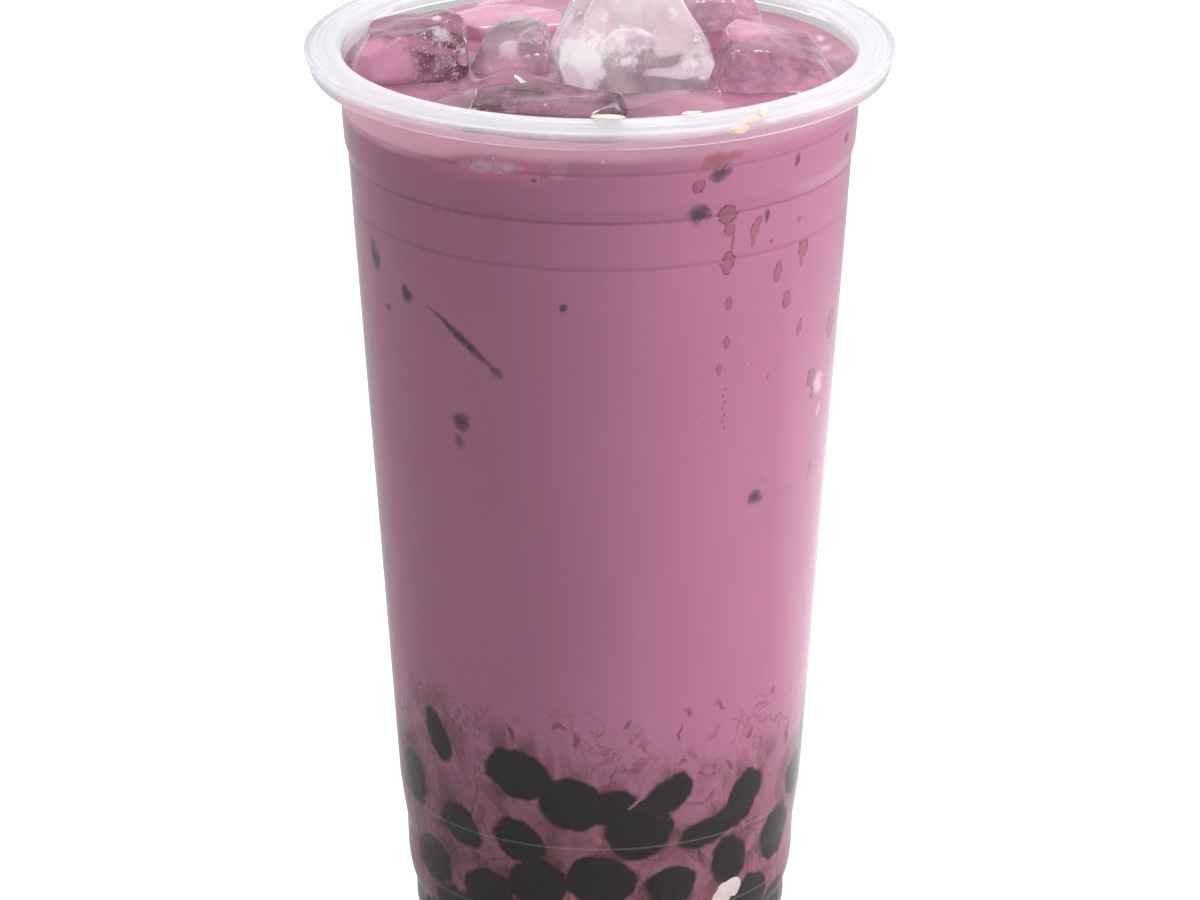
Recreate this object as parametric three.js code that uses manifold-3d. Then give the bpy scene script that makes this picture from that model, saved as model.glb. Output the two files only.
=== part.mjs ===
// Taro bubble tea: a clear plastic cup with a milky drink, floating ice and a bed of tapioca pearls.
// Lengths are in millimetres and angles in degrees.
// +Z is up, and the cup stands on z = 0, centred on the Z axis.
import * as THREE from "three";
import { mergeVertices } from "three/addons/utils/BufferGeometryUtils.js";
import Module from "manifold-3d";

// Cup: overall sizes
const CUP_HEIGHT = 154.4;
const WALL = 0.75;
const SEGMENTS = 40;
const CURVE_STEPS = 2;

// Cup: foot and the two stacking steps above it
const FOOT_R = 30.9;
const FOOT_CORNER = 6.6;
const FOOT_RING_R = 20;
const FOOT_RECESS = 2.2;
const FOOT_RECESS_R = 18;
const LOWER_NOTCH_Z = 9.4;
const LOWER_STEP_R = 32.2;
const LOWER_STEP_Z = 15;
const LOWER_CURVE_IN = 0.3;
const LOWER_CURVE_RISE = 2;
const UPPER_NOTCH_R = 32.4;
const UPPER_NOTCH_Z = 20.7;
const UPPER_STEP_R = 33.55;
const UPPER_STEP_Z = 28.7;
const UPPER_CURVE_IN = 0.5;
const UPPER_CURVE_RISE = 3.7;

// Cup: the straight taper up to the lowest mould line, the step above it and the neck
const GROOVE_R = 40.15;
const GROOVE_Z = 128.7;
const BAND_R = 40.63;
const BAND_Z = 136.4;
const SHOULDER_R = 41.26;
const SHOULDER_Z = 138.9;
const NECK_FOOT_R = 41.65;
const NECK_FOOT_Z = 144.6;
const NECK_R = 42.1;
const NECK_Z = 151;

// Cup: the flat sealing rim with its short skirt
const RIM_R = 47.5;
const RIM_INNER_R = 43.3;
const RIM_THICKNESS = 1.1;
const RIM_EDGE = 0.7;
const SKIRT_R = 46.35;
const SKIRT_DROP = 4.1;
const SKIRT_THICKNESS = 0.75;
const LIP_DROP = 2.2;

// Contents
const GAP = 0.3;
const DRINK_LEVEL = 149.7;
const PEARL_R = 4.5;
const PEARL_ROWS = 4;
const PEARLS_IN_ROW = 13;
const ROW_RISE = 7.9;
const SMALLEST_PEARL = 0.9;
const TURN_SPREAD = 0.25;
const RISE_SPREAD = 1.2;
const TOP_TURN_SPREAD = 0.4;
const TOP_RISE_SPREAD = 1.5;
const HEAP_FLOOR_Z = 3.3;
const CORE_FOOT_R = 22;
const FIRST_ROW_Z = HEAP_FLOOR_Z + PEARL_R + GAP;
const LAST_ROW_Z = FIRST_ROW_Z + (PEARL_ROWS - 1) * ROW_RISE;
const CORE_TOP_Z = LAST_ROW_Z + 1;
const DRINK_BOTTOM_Z = LAST_ROW_Z + 0.6;
const SEED = { turn: 1, size: 11, rise: 21, topTurn: 31, topRise: 41 };
const TOP_RINGS = [
  { radius: 17.5, count: 8 },
  { radius: 8, count: 3 },
];

// Ice: each piece is a block about its widest level, eased towards a ball by its roundness.
// Top and foot give the width there as a share, slope tilts the top and shift moves it sideways.
const ICE_GRID = 4;
const ICE_WOBBLE = 0.9;
const BALL_SHARE = 0.55;
const ICE = [
  { name: "ice_tall", at: [5, -4, 154], size: [25, 20, 31], turn: 8, round: 0.2,
    top: 0.4, foot: 0.7, slope: [0, 0], shift: [-1, 0] },
  { name: "ice_left", at: [-30.7, 0.5, 150.5], size: [19, 17.5, 14.5], turn: 4, round: 0.25,
    top: 0.85, foot: 0.85, slope: [0.12, 0], shift: [0.5, 0] },
  { name: "ice_round", at: [-14.3, 3, 150], size: [12, 17, 14], turn: -8, round: 0.6,
    top: 0.8, foot: 0.9, slope: [0.1, 0], shift: [1, 0] },
  { name: "ice_front", at: [-9.3, -26.3, 146.5], size: [28, 14.5, 13], turn: -11, round: 0.25,
    top: 0.9, foot: 0.85, slope: [0, 0.1], shift: [0, 0] },
  { name: "ice_right", at: [28, -4, 149], size: [20.5, 20, 13.5], turn: 8, round: 0.25,
    top: 0.7, foot: 0.85, slope: [-0.17, 0.1], shift: [-0.5, 2] },
  { name: "ice_back_right", at: [20.7, 18, 150], size: [13, 14, 15], turn: 20, round: 0.5,
    top: 0.8, foot: 0.85, slope: [0, 0], shift: [0, 0] },
  { name: "ice_back_left", at: [-15, 23.5, 146.5], size: [20, 15, 12], turn: 10, round: 0.3,
    top: 0.9, foot: 0.85, slope: [0, 0], shift: [0, 0] },
  { name: "ice_back", at: [3.5, 24.5, 149.5], size: [12, 15, 15], turn: -15, round: 0.35,
    top: 0.8, foot: 0.85, slope: [0, 0.1], shift: [0, 0] },
];

// Finishes
const CLEAR_PLASTIC = { color: 0xf1f2f6, roughness: 0.18, metalness: 0, transparent: true, opacity: 0.3 };
const MILK_TEA = { color: 0xa9708f, roughness: 0.3, metalness: 0 };
const CLEAR_ICE = { color: 0xe6d3dd, roughness: 0.1, metalness: 0, transparent: true, opacity: 0.6 };
const TAPIOCA = { color: 0x2c2527, roughness: 0.35, metalness: 0 };

const wasm = await Module();
wasm.setup();

// A closed geometry as a solid that can be joined and cut.
function toSolid(geometry) {
  geometry.deleteAttribute("normal");
  geometry.deleteAttribute("uv");
  const merged = mergeVertices(geometry, 1e-3);
  const vertProperties = merged.attributes.position.array;
  const triVerts = new Uint32Array(merged.index.array);
  return new wasm.Manifold(new wasm.Mesh({ numProp: 3, vertProperties, triVerts }));
}

// A solid back as a geometry.
function toGeometry(solid) {
  const mesh = solid.getMesh();
  const geometry = new THREE.BufferGeometry();
  geometry.setAttribute("position", new THREE.BufferAttribute(mesh.vertProperties, 3));
  geometry.setIndex(new THREE.BufferAttribute(mesh.triVerts, 1));
  geometry.computeVertexNormals();
  return geometry;
}

// An outline of (radius, height) points turned about the Z axis.
function turned(points) {
  return new THREE.LatheGeometry(points, SEGMENTS).rotateX(Math.PI / 2);
}

// A repeatable number from 0 to 1: the fraction of a tall sine wave.
function chance(seed, index) {
  const seedStep = 78.233;
  const indexStep = 12.9898;
  const waveHeight = 43758.5453;
  const wave = Math.sin(seed * seedStep + index * indexStep) * waveHeight;
  return wave - Math.floor(wave);
}

// The cup wall from the foot ring up to the neck, set inwards by an inset.
function wallPoints(inset) {
  const line = new THREE.Path();
  const corner = FOOT_R - FOOT_CORNER;
  line.moveTo(corner, inset);
  line.absarc(corner, FOOT_CORNER, FOOT_CORNER - inset, -Math.PI / 2, 0, false);
  line.lineTo(FOOT_R - inset, LOWER_NOTCH_Z);
  const lower = LOWER_STEP_R - inset;
  line.quadraticCurveTo(lower - LOWER_CURVE_IN, LOWER_NOTCH_Z + LOWER_CURVE_RISE, lower, LOWER_STEP_Z);
  line.lineTo(UPPER_NOTCH_R - inset, UPPER_NOTCH_Z);
  const upper = UPPER_STEP_R - inset;
  line.quadraticCurveTo(upper - UPPER_CURVE_IN, UPPER_NOTCH_Z + UPPER_CURVE_RISE, upper, UPPER_STEP_Z);
  line.lineTo(GROOVE_R - inset, GROOVE_Z);
  line.lineTo(BAND_R - inset, BAND_Z);
  line.lineTo(SHOULDER_R - inset, SHOULDER_Z);
  line.lineTo(NECK_FOOT_R - inset, NECK_FOOT_Z);
  line.lineTo(NECK_R - inset, NECK_Z);
  return line.getPoints(CURVE_STEPS);
}

// The radius of an outline at a height, between its points.
function radiusAt(points, z) {
  const above = points.findIndex((point) => point.y > z);
  if (above < 0) {
    return points[points.length - 1].x;
  }
  const low = points[above - 1];
  const high = points[above];
  return THREE.MathUtils.mapLinear(z, low.y, high.y, low.x, high.x);
}

// The cup in one outline: recessed foot, wall, skirted rim, inner wall and floor.
function cup() {
  const under = CUP_HEIGHT - RIM_THICKNESS;
  const rim = new THREE.Path();
  rim.moveTo(NECK_R, under);
  rim.lineTo(RIM_R - SKIRT_THICKNESS, under);
  rim.lineTo(SKIRT_R - SKIRT_THICKNESS, CUP_HEIGHT - SKIRT_DROP);
  rim.lineTo(SKIRT_R, CUP_HEIGHT - SKIRT_DROP);
  rim.lineTo(RIM_R, CUP_HEIGHT - RIM_EDGE);
  rim.quadraticCurveTo(RIM_R, CUP_HEIGHT, RIM_R - RIM_EDGE, CUP_HEIGHT);
  rim.lineTo(RIM_INNER_R, CUP_HEIGHT);
  rim.quadraticCurveTo(NECK_R - WALL, CUP_HEIGHT, NECK_R - WALL, CUP_HEIGHT - LIP_DROP);
  const outline = [
    new THREE.Vector2(0, FOOT_RECESS),
    new THREE.Vector2(FOOT_RECESS_R, FOOT_RECESS),
    new THREE.Vector2(FOOT_RING_R, 0),
    ...wallPoints(0),
    ...rim.getPoints(CURVE_STEPS),
    ...wallPoints(WALL).reverse(),
    new THREE.Vector2(FOOT_RING_R, WALL),
    new THREE.Vector2(FOOT_RECESS_R, FOOT_RECESS + WALL),
    new THREE.Vector2(0, FOOT_RECESS + WALL),
  ];
  return turned(outline);
}

// One pearl as a faceted ball.
function pearl(x, y, z, radius) {
  return toSolid(new THREE.DodecahedronGeometry(radius).translate(x, y, z));
}

// The bed of pearls: rows along the wall and rings on top, fused to a plain core. Grow makes its clearance.
function pearlHeap(grow) {
  const wall = wallPoints(WALL + GAP);
  const coreLow = radiusAt(wall, FIRST_ROW_Z) - PEARL_R;
  const coreHigh = radiusAt(wall, CORE_TOP_Z) - PEARL_R;
  const core = [
    new THREE.Vector2(0, HEAP_FLOOR_Z - grow),
    new THREE.Vector2(CORE_FOOT_R + grow, HEAP_FLOOR_Z - grow),
    new THREE.Vector2(coreLow + grow, FIRST_ROW_Z),
    new THREE.Vector2(coreHigh + grow, CORE_TOP_Z + grow),
    new THREE.Vector2(0, CORE_TOP_Z + grow),
  ];
  const pieces = [toSolid(turned(core))];
  for (let row = 0; row < PEARL_ROWS; row++) {
    for (let i = 0; i < PEARLS_IN_ROW; i++) {
      const turn = i + row / 2 + TURN_SPREAD * chance(row + SEED.turn, i);
      const angle = (turn / PEARLS_IN_ROW) * 2 * Math.PI;
      const radius = PEARL_R * THREE.MathUtils.lerp(SMALLEST_PEARL, 1, chance(row + SEED.size, i));
      const z = FIRST_ROW_Z + row * ROW_RISE + RISE_SPREAD * chance(row + SEED.rise, i);
      const reach = radiusAt(wall, z - radius / 2) * Math.cos(Math.PI / SEGMENTS) - radius;
      pieces.push(pearl(reach * Math.cos(angle), reach * Math.sin(angle), z, radius + grow));
    }
  }
  TOP_RINGS.forEach((ring, row) => {
    for (let i = 0; i < ring.count; i++) {
      const angle = ((i + TOP_TURN_SPREAD * chance(row + SEED.topTurn, i)) / ring.count) * 2 * Math.PI;
      const z = CORE_TOP_Z + TOP_RISE_SPREAD * chance(row + SEED.topRise, i);
      pieces.push(pearl(ring.radius * Math.cos(angle), ring.radius * Math.sin(angle), z, PEARL_R + grow));
    }
  });
  return wasm.Manifold.union(pieces);
}

// One half-melted ice cube, with grow added all round for the clearance that the drink leaves it.
function iceBlock(piece, grow) {
  const size = piece.size.map((length) => length + 2 * grow);
  const geometry = new THREE.BoxGeometry(1, 1, 1, ICE_GRID, ICE_GRID, ICE_GRID);
  geometry.deleteAttribute("normal");
  geometry.deleteAttribute("uv");
  const block = mergeVertices(geometry);
  const place = block.getAttribute("position");
  const point = new THREE.Vector3();
  const ball = new THREE.Vector3();
  for (let i = 0; i < place.count; i++) {
    point.fromBufferAttribute(place, i);
    ball.copy(point).setLength(BALL_SHARE);
    point.lerp(ball, piece.round);
    const rise = 2 * point.z;
    const width = rise > 0 ? 1 + (piece.top - 1) * rise : 1 + (1 - piece.foot) * rise;
    const lift = Math.max(rise, 0);
    const x = point.x * size[0];
    const y = point.y * size[1];
    const tilt = lift * (piece.slope[0] * x + piece.slope[1] * y);
    const wobble = [0, 1, 2].map((axis) => ICE_WOBBLE * (chance(piece.at[axis], i) - 0.5));
    place.setXYZ(
      i,
      x * width + lift * piece.shift[0] + wobble[0],
      y * width + lift * piece.shift[1] + wobble[1],
      point.z * size[2] + tilt + wobble[2],
    );
  }
  block.rotateZ(THREE.MathUtils.degToRad(piece.turn));
  block.translate(...piece.at);
  return toSolid(block);
}

// The drink above the pearls, cut round them and round the ice.
function drink() {
  const wall = wallPoints(WALL + GAP);
  const outline = [
    new THREE.Vector2(0, DRINK_BOTTOM_Z),
    new THREE.Vector2(radiusAt(wall, DRINK_BOTTOM_Z), DRINK_BOTTOM_Z),
    ...wall.filter((point) => point.y > DRINK_BOTTOM_Z && point.y < DRINK_LEVEL),
    new THREE.Vector2(radiusAt(wall, DRINK_LEVEL), DRINK_LEVEL),
    new THREE.Vector2(0, DRINK_LEVEL),
  ];
  let body = toSolid(turned(outline)).subtract(pearlHeap(GAP));
  for (const piece of ICE) {
    body = body.subtract(iceBlock(piece, GAP));
  }
  return body;
}

function named(name, geometry, finish) {
  const mesh = new THREE.Mesh(geometry, new THREE.MeshStandardMaterial(finish));
  mesh.name = name;
  return mesh;
}

const bubbleTea = new THREE.Group();
bubbleTea.add(named("cup", cup(), CLEAR_PLASTIC));
bubbleTea.add(named("drink", toGeometry(drink()), MILK_TEA));
bubbleTea.add(named("pearls", toGeometry(pearlHeap(0)), TAPIOCA));
for (const piece of ICE) {
  bubbleTea.add(named(piece.name, toGeometry(iceBlock(piece, 0)), CLEAR_ICE));
}

export default bubbleTea;
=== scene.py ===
"""Looks of a cup of taro bubble tea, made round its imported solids.

Lengths are millimetres until mesh_piece() turns them into metres. The cup stands on z = 0, with -Y
towards the camera and +X to the right. Angles round the cup are degrees from the front, towards +X.
"""
import math

import bmesh
import bpy
import numpy as np
from mathutils import Matrix, Vector, kdtree, noise


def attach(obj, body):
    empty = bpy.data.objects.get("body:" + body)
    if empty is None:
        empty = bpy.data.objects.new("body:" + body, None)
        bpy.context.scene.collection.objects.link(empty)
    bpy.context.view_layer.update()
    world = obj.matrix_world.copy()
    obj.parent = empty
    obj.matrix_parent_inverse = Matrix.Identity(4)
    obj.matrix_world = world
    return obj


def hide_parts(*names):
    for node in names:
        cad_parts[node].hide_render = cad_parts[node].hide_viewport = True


MM = 0.001

# Cup sizes, as in the solids
CUP_HEIGHT = 154.4
WALL = 0.75
FOOT_R = 30.9
FOOT_CORNER = 6.6
FOOT_RING_R = 20.0
FOOT_RECESS = 2.2
FOOT_RECESS_R = 18.0
LOWER_NOTCH_Z = 9.4
LOWER_STEP_R = 32.2
LOWER_STEP_Z = 15.0
LOWER_CURVE_IN = 0.3
LOWER_CURVE_RISE = 2.0
UPPER_NOTCH_R = 32.4
UPPER_NOTCH_Z = 20.7
UPPER_STEP_R = 33.55
UPPER_STEP_Z = 28.7
UPPER_CURVE_IN = 0.5
UPPER_CURVE_RISE = 3.7
GROOVE_R = 40.15
GROOVE_Z = 128.7
BAND_R = 40.63
BAND_Z = 136.4
SHOULDER_R = 41.26
SHOULDER_Z = 138.9
NECK_FOOT_R = 41.65
NECK_FOOT_Z = 144.6
NECK_R = 42.1
NECK_Z = 151.0
LINE_HALF = 0.35
LINE_DEPTH_OUTSIDE = 0.04
LINE_DEPTH_INSIDE = 0.2
# Heights of two thin rings of painted highlight low on the wall
LOWER_SHINE_Z = 14.2
UPPER_SHINE_Z = 27.5
RIM_R = 47.5
RIM_INNER_R = 43.3
RIM_THICKNESS = 1.1
RIM_EDGE = 0.7
SKIRT_R = 46.35
SKIRT_DROP = 4.1
SKIRT_THICKNESS = 0.75
LIP_DROP = 2.2
RIM_RINGS = [46.1, 45.2, 44.3]
RIM_RING_HALF = 0.2
RIM_RING_DEPTH = 0.12
CORNER_EASE = 0.45

# Contents
DRINK_LEVEL = 149.7
DRINK_REACH = 0.1
ICE_NODES = ["ice_tall", "ice_left", "ice_round", "ice_front", "ice_right",
             "ice_back_right", "ice_back_left", "ice_back"]

# Fineness
SEGMENTS = 256
DRINK_SEGMENTS = 320
CURVE_STEPS = 8
ICE_VOXEL = 0.55

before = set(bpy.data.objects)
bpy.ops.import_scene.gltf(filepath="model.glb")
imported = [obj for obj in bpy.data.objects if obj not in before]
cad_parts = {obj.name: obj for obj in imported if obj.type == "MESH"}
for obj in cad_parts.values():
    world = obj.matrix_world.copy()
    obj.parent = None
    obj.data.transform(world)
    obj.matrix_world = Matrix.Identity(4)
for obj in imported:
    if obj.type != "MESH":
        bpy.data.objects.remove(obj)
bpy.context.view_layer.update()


# Shape helpers

def lumps(points, scale, seed=0.0):
    """Smooth noise from about -1 to 1 at each point, with bumps about as wide as the scale."""
    shift = Vector((seed, 2 * seed, 3 * seed))
    return np.array([noise.noise(Vector(point) / scale + shift) for point in points])


def bend(start, middle, end, steps=CURVE_STEPS):
    """Points of a quadratic curve, without its start."""
    t = np.linspace(0, 1, steps + 1)[1:, None]
    start, middle, end = (np.array(point, float) for point in (start, middle, end))
    return list((1 - t) ** 2 * start + 2 * t * (1 - t) * middle + t ** 2 * end)


def eased(points, radius):
    """A line with each inner corner cut by a small curve."""
    line = [np.array(points[0], float)]
    for before, corner, after in zip(points, points[1:], points[2:]):
        before, corner, after = (np.array(point, float) for point in (before, corner, after))
        back, ahead = before - corner, after - corner
        cut_back = corner + back * min(0.4, radius / np.linalg.norm(back))
        cut_ahead = corner + ahead * min(0.4, radius / np.linalg.norm(ahead))
        line.append(cut_back)
        line += bend(cut_back, corner, cut_ahead, 3)
    line.append(np.array(points[-1], float))
    return line


def turned(line, segments):
    """Vertices and faces of a line of (radius, height) points turned about Z, with poles on the axis."""
    angles = np.arange(segments) * 2 * math.pi / segments
    circle = np.stack([np.cos(angles), np.sin(angles)], 1)
    vertices, rows = [], []
    for radius, height in line:
        first = len(vertices)
        if radius < 1e-6:
            vertices.append((0, 0, height))
            rows.append([first] * segments)
        else:
            vertices += [(radius * x, radius * y, height) for x, y in circle]
            rows.append(list(range(first, first + segments)))
    faces = []
    for low, high in zip(rows, rows[1:]):
        for j in range(segments):
            k = (j + 1) % segments
            corners = [low[j], low[k], high[k], high[j]]
            faces.append([c for i, c in enumerate(corners) if c != corners[i - 1]])
    return np.array(vertices), faces


def mould_line(radius, height, depth):
    """A fine groove in the wall."""
    return [(radius, height - LINE_HALF), (radius - depth, height), (radius, height + LINE_HALF)]


def wall_line(inset):
    """The cup wall from the foot ring up to the neck, set inwards, as (radius, height) points."""
    middle = FOOT_R - FOOT_CORNER
    corner = FOOT_CORNER - inset
    line = [(middle + corner * math.cos(turn), FOOT_CORNER + corner * math.sin(turn))
            for turn in np.radians(np.linspace(-90, 0, 12))]
    depth = LINE_DEPTH_INSIDE if inset else LINE_DEPTH_OUTSIDE
    lower, upper = LOWER_STEP_R - inset, UPPER_STEP_R - inset
    line.append((FOOT_R - inset, LOWER_NOTCH_Z))
    line += bend(line[-1], (lower - LOWER_CURVE_IN, LOWER_NOTCH_Z + LOWER_CURVE_RISE), (lower, LOWER_STEP_Z))
    line.append((UPPER_NOTCH_R - inset, UPPER_NOTCH_Z))
    line += bend(line[-1], (upper - UPPER_CURVE_IN, UPPER_NOTCH_Z + UPPER_CURVE_RISE), (upper, UPPER_STEP_Z))
    line += mould_line(GROOVE_R - inset, GROOVE_Z, depth)
    line += mould_line(BAND_R - inset, BAND_Z, depth)
    line.append((SHOULDER_R - inset, SHOULDER_Z))
    line += mould_line(NECK_FOOT_R - inset, NECK_FOOT_Z, depth)
    line.append((NECK_R - inset, NECK_Z))
    return line


DRINK_SIDE = np.array(wall_line(WALL - DRINK_REACH))


def wall_radius(height):
    """The radius of the drink's side at a height: just inside the cup wall."""
    return np.interp(height, DRINK_SIDE[:, 1], DRINK_SIDE[:, 0])


def mesh_piece(name, vertices, faces, *materials):
    """A smooth mesh object from millimetre vertices, riding on the part."""
    mesh = bpy.data.meshes.new(name)
    mesh.from_pydata([tuple(v) for v in np.asarray(vertices) * MM], [], faces)
    mesh.shade_smooth()
    for material in materials:
        mesh.materials.append(material)
    piece = bpy.data.objects.new(name, mesh)
    bpy.context.scene.collection.objects.link(piece)
    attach(piece, "root")
    return piece


def coordinates(mesh):
    """The vertices of a mesh in millimetres."""
    flat = np.empty(len(mesh.vertices) * 3)
    mesh.vertices.foreach_get("co", flat)
    return flat.reshape(-1, 3) / MM


def normals(mesh):
    """The vertex normals of a mesh."""
    flat = np.empty(len(mesh.vertices) * 3)
    mesh.vertices.foreach_get("normal", flat)
    return flat.reshape(-1, 3)


def set_coordinates(mesh, points):
    """Move the vertices of a mesh to millimetre points."""
    mesh.vertices.foreach_set("co", (points * MM).ravel())
    mesh.update()


def set_attribute(mesh, name, values):
    """Store one number a vertex for the material to read."""
    layer = mesh.attributes.new(name, "FLOAT", "POINT")
    layer.data.foreach_set("value", np.asarray(values, np.float32))


def apply_modifiers(piece):
    """Turn the modifiers of an object into its mesh."""
    bpy.context.view_layer.update()
    depsgraph = bpy.context.evaluated_depsgraph_get()
    mesh = bpy.data.meshes.new_from_object(piece.evaluated_get(depsgraph))
    piece.modifiers.clear()
    piece.data = mesh


# Materials

class Graph:
    """Short calls that build the node tree of a material."""

    def __init__(self, tree):
        self.tree = tree
        tree.nodes.clear()

    def add(self, kind, inputs=None, **settings):
        node = self.tree.nodes.new("ShaderNode" + kind)
        for name, value in settings.items():
            setattr(node, name, value)
        for name, value in (inputs or {}).items():
            if isinstance(value, bpy.types.NodeSocket):
                self.tree.links.new(value, node.inputs[name])
            else:
                node.inputs[name].default_value = value
        return node

    def math(self, operation, a, b=0.0):
        return self.add("Math", {0: a, 1: b}, operation=operation).outputs[0]

    def remap(self, value, low, high, to_low=0.0, to_high=1.0):
        inputs = {"Value": value, "From Min": low, "From Max": high, "To Min": to_low, "To Max": to_high}
        return self.add("MapRange", inputs, interpolation_type="SMOOTHSTEP").outputs["Result"]

    def ramp(self, value, ends):
        """A soft step from 0 at the first end to 1 at the second, with the ends in millimetres."""
        return self.remap(value, ends[0] * MM, ends[1] * MM)

    def mix(self, share, a, b):
        return self.add("Mix", {0: share, 6: a, 7: b}, data_type="RGBA").outputs[2]

    def tint(self, share, colour, filter_colour):
        inputs = {0: share, 6: colour, 7: filter_colour}
        return self.add("Mix", inputs, data_type="RGBA", blend_type="MULTIPLY").outputs[2]

    def place(self):
        return self.add("TexCoord").outputs["Object"]

    def axis(self, name):
        return self.add("SeparateXYZ", {0: self.place()}).outputs[name]

    def height(self):
        return self.axis("Z")

    def band(self, value, middle, half, share):
        """A soft band of a value round its middle."""
        off = self.math("ABSOLUTE", self.math("SUBTRACT", value, middle))
        return self.remap(off, half, 0.25 * half, 0.0, share)

    def times(self, *values):
        product = values[0]
        for value in values[1:]:
            product = self.math("MULTIPLY", product, value)
        return product

    def noise(self, scale, detail=2.0, stretch=(1, 1, 1), distortion=0.0, roughness=0.5):
        """Noise from 0 to 1 with bumps about one over the scale wide, in metres."""
        turned_place = self.add("Mapping", {"Vector": self.place(), "Scale": stretch}).outputs[0]
        inputs = {"Vector": turned_place, "Scale": scale, "Detail": detail,
                  "Roughness": roughness, "Distortion": distortion}
        return self.add("TexNoise", inputs).outputs[0]

    def attribute(self, name):
        return self.add("Attribute", attribute_name=name).outputs["Fac"]

    def bump(self, height, strength, distance):
        inputs = {"Height": height, "Strength": strength, "Distance": distance}
        return self.add("Bump", inputs).outputs[0]

    def surface(self, shader):
        self.tree.links.new(shader, self.add("OutputMaterial").inputs["Surface"])

    def clear_to_lamps(self, shader, tint):
        """A shader that lets lamp light straight through, as thin clear things do."""
        shadow = self.add("LightPath").outputs["Is Shadow Ray"]
        through = self.add("BsdfTransparent", {"Color": tint}).outputs[0]
        return self.add("MixShader", {0: shadow, 1: shader, 2: through}).outputs[0]


def new_material(name):
    material = bpy.data.materials.new(name)
    material.use_nodes = True
    return material, Graph(material.node_tree)


MILK = (0.455, 0.174, 0.295, 1)
MILK_PALE = (0.54, 0.23, 0.36, 1)
MILK_HANG = (0.64, 0.21, 0.34, 1)
FILM_LEFT = (0.98, 0.57, 0.7, 1)
FILM_RIGHT = (0.53, 0.28, 0.37, 1)
# Colours of the open surface in painted shade and in painted light
TOP_PAINTED_SHADE = (0.19, 0.06, 0.11, 1)
TOP_PAINTED_LIGHT = (0.44, 0.185, 0.27, 1)
MILK_HEAP = (0.3, 0.115, 0.165, 1)
SYRUP_BROWN = (0.13, 0.042, 0.05, 1)
SYRUP_SMEAR = (0.36, 0.12, 0.14, 1)
SYRUP_GLOW = (0.45, 0.14, 0.09, 1)
PEARL_DARK = (0.02, 0.012, 0.012, 1)
# Painted shade where sunken ice touches the wall
ICE_SHADE = (0.09, 0.05, 0.085, 1)
ICE_TINGE = (0.86, 0.66, 0.78, 1)
ICE_DEEP_SHADE = (0.2, 0.075, 0.13, 1)
ICE_MILK = (0.6, 0.26, 0.4, 1)
PALE_SMEAR = (0.8, 0.66, 0.74, 1)
LINE_TINT = (0.6, 0.52, 0.62, 1)
NEAR_PEARL_TINT = (0.42, 0.36, 0.27, 1)
VEIN_TINT = (0.55, 0.4, 0.36, 1)
NOOK_SHADE_TINT = (0.42, 0.34, 0.42, 1)
SYRUP_TINT = (0.46, 0.24, 0.2, 1)
PEARL_HALO = 0.55
PEARL_BLUR = 0.35
PEARL_RAGGED = 2.4

# Where the open surface turns from painted shade at the front left to painted light at the back and right,
# and its painted shade beside the ice
TOP_LIT_BACK = (-30.0, 6.0)
TOP_LIT_RIGHT = (-5.0, 22.0)
TOP_CLOUDS = 0.3
NOOK_SHADE = 0.95

# How ragged the edge is of a stain, and of the painted shade where ice touches the wall
STAIN_AND_SHADE_RAGGED = 1.1

# Haze of the rim, and the painted highlight of the two shining rings
HAZE_FROM_Z = 151.4
HAZE_TO_Z = 154.0
HAZE_LEAST = 0.016
HAZE_MOST = 0.44
SHINE_HALF = 0.28
SHINE_SHARE = 0.16

# The milky film under the rim, its drape on the left and the paler patch that hangs from it
FILM_FROM_Z = 146.4
FILM_TO_Z = 148.3
FILM_SHARE = 0.95
FILM_SIDES = (-34.0, 28.0)
DRAPE_X = -34.0
DRAPE_HALF = 16.0
DRAPE_DROP = 2.6
HANG_LEFT = (-29.0, -24.0)
HANG_RIGHT = (-5.0, -11.0)
HANG_Z = (142.2, 144.2)
HANG_SHARE = 0.7
# Painted shade along the mould lines: its half width and strength
LINE_SHADE_HALF = 0.45
LINE_SHADE = 0.4

# The brown zone of the pearls
HEAP_Z = (58.0, 34.0)
HEAP_WAVER = 16.0
HEAP_SHARE = 0.75
NEAR_PEARL_REACH = (6.5, 0.6)
NEAR_PEARL_SHARE = 0.95
VEIN_Z = (55.0, 46.0)
VEIN_SHARE = 0.75


def clear_plastic():
    """Clear moulded plastic, hazy along the flat rim, with two thin rings of painted highlight low on the
    wall.
    """
    material, graph = new_material("clear_plastic")
    glass = graph.add("BsdfPrincipled", {
        "Base Color": (0.985, 0.985, 0.995, 1), "Roughness": 0.06, "IOR": 1.42, "Transmission Weight": 1.0,
        "Normal": graph.bump(graph.noise(900, 3), 0.02, 0.0002)}).outputs[0]
    haze = graph.add("BsdfDiffuse", {"Color": (0.8, 0.8, 0.84, 1)}).outputs[0]
    glow = graph.add("BsdfTranslucent", {"Color": (0.85, 0.85, 0.89, 1)}).outputs[0]
    milky = graph.add("MixShader", {0: 0.5, 1: haze, 2: glow}).outputs[0]
    height = graph.height()
    share = graph.remap(height, HAZE_FROM_Z * MM, HAZE_TO_Z * MM, HAZE_LEAST, HAZE_MOST)
    # Painted highlight: the milky white in two thin bands round the wall
    for shine in (LOWER_SHINE_Z, UPPER_SHINE_Z):
        share = graph.math("MAXIMUM", share, graph.band(height, shine * MM, SHINE_HALF * MM, SHINE_SHARE))
    shader = graph.add("MixShader", {0: share, 1: glass, 2: milky}).outputs[0]
    graph.surface(graph.clear_to_lamps(shader, (0.96, 0.96, 0.97, 1)))
    return material


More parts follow.
